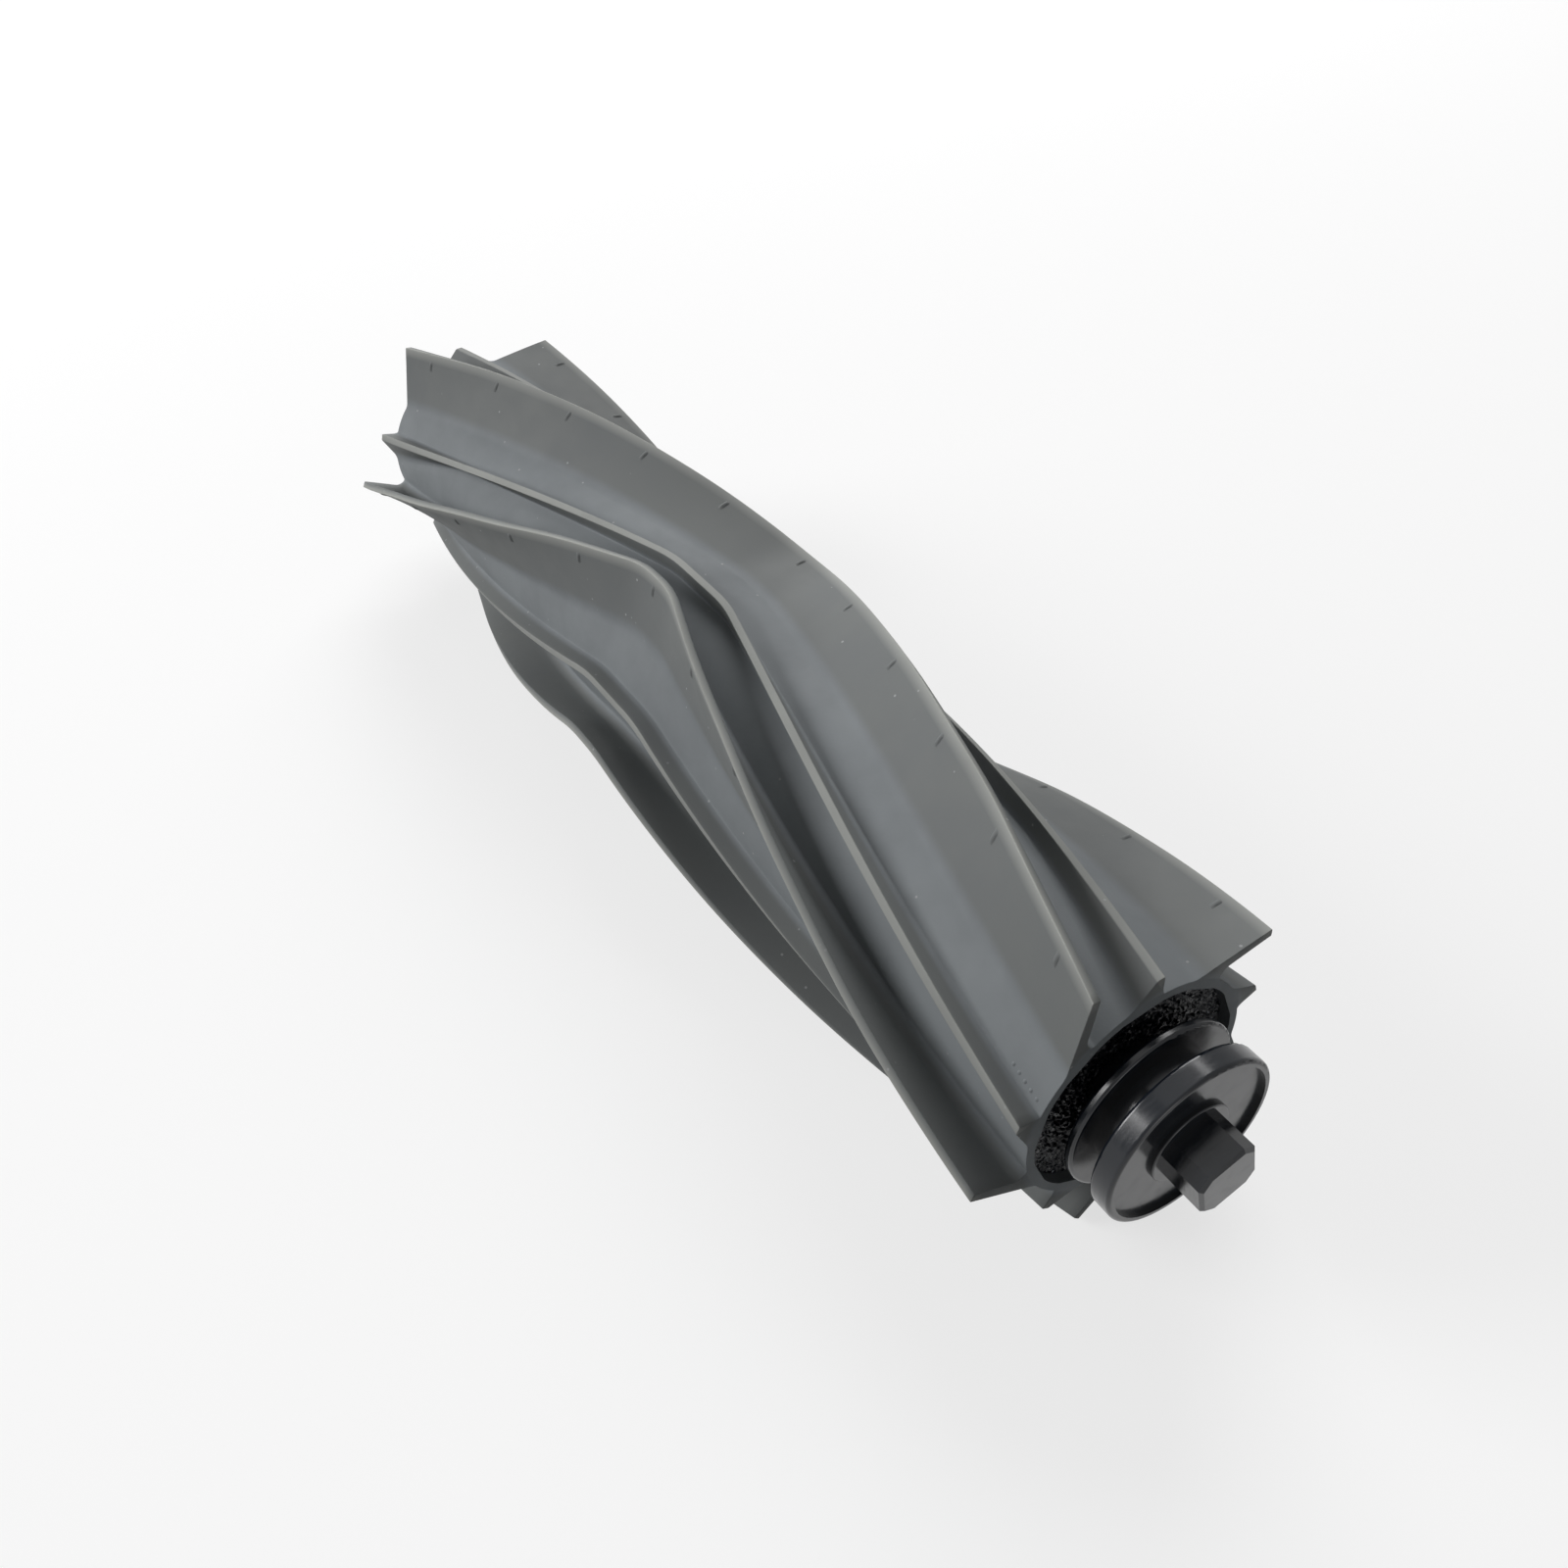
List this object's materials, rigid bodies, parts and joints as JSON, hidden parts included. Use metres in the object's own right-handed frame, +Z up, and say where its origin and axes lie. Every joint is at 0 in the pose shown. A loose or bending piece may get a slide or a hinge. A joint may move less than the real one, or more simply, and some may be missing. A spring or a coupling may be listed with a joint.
{
  "type": "vacuum roller brush",
  "caption": "Grey rubber roller brush with leaning chevron fins over foam, on a black shaft with a grooved hub, a square drive stub and a bearing cap that turns on a pin.",
  "frame": {"origin": "on the roller axis, in the plane of the drive flange's front rim, where the square stub comes out", "axes": "+X along the roller axis and out of the drive end, +Z up as the picture shows it"},
  "size_m": [0.184, 0.041, 0.041],
  "materials": {
    "grey_rubber": "satin moulded rubber",
    "black_foam": "open-cell foam",
    "black_plastic": "glossy moulded plastic",
    "pin_steel": "ground steel",
    "bush_bronze": "sintered bronze",
    "cap_plastic": "matt moulded plastic"
  },
  "bodies": {
    "roller": {"rubber_sleeve": "grey_rubber", "foam_core": "black_foam", "core_shaft": "black_plastic", "idler_hub": "black_plastic", "axle_pin": "pin_steel"},
    "bearing": {"bearing_bush": "bush_bronze", "bearing_cap": "cap_plastic"}
  },
  "joints": [
    {"name": "bearing_turn", "type": "hinge", "parent": "roller", "child": "bearing", "pos_m": [-0.174, 0, 0], "axis": [1, 0, 0], "continuous": true}
  ]
}
